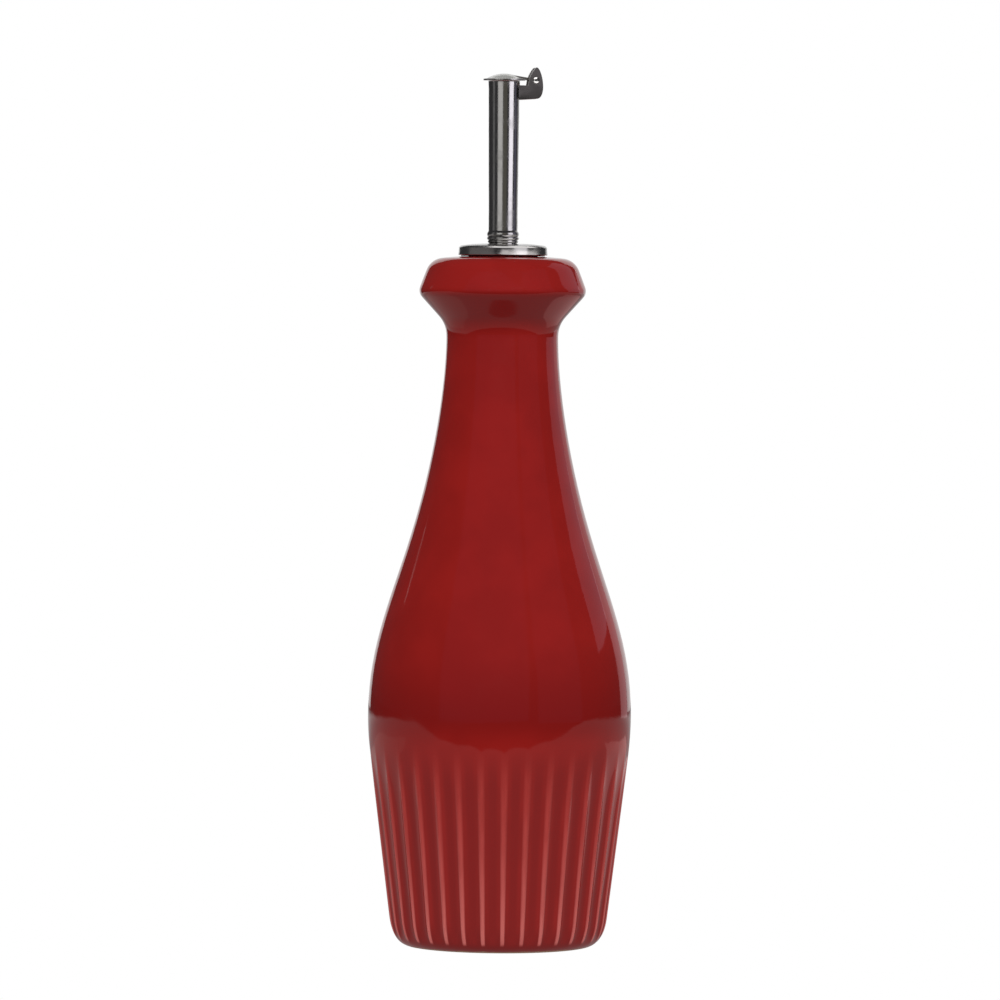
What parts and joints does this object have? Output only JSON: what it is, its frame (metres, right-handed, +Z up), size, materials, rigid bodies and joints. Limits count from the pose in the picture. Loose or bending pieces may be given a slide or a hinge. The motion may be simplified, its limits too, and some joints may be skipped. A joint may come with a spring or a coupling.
{
  "type": "vinegar cruet",
  "caption": "Glazed ceramic vinegar cruet with a fluted lower body, a flared collar and a steel pouring spout closed by a hinged flap.",
  "frame": {"origin": "centre of the circle on which the foot ring stands", "axes": "+Z up along the bottle's axis, +X towards the flap's hinge, hinge axis parallel to Y"},
  "size_m": [0.0554, 0.0554, 0.185],
  "materials": {
    "red_glaze": "gloss",
    "black_rubber": "matte",
    "cap_steel": "polished",
    "spout_steel": "polished",
    "bracket_steel": "satin",
    "pin_steel": "polished",
    "flap_steel": "polished"
  },
  "bodies": {
    "cruet": {"bottle": "red_glaze", "stopper": "black_rubber", "cap": "cap_steel", "spout": "spout_steel", "bracket": "bracket_steel", "pin": "pin_steel"},
    "flap": {"flap": "flap_steel"}
  },
  "joints": [
    {"name": "flap_hinge", "type": "hinge", "parent": "cruet", "child": "flap", "pos_m": [0.0065, 0, 0.1823], "axis": [0, 1, 0], "range_deg": [0, 76]}
  ]
}
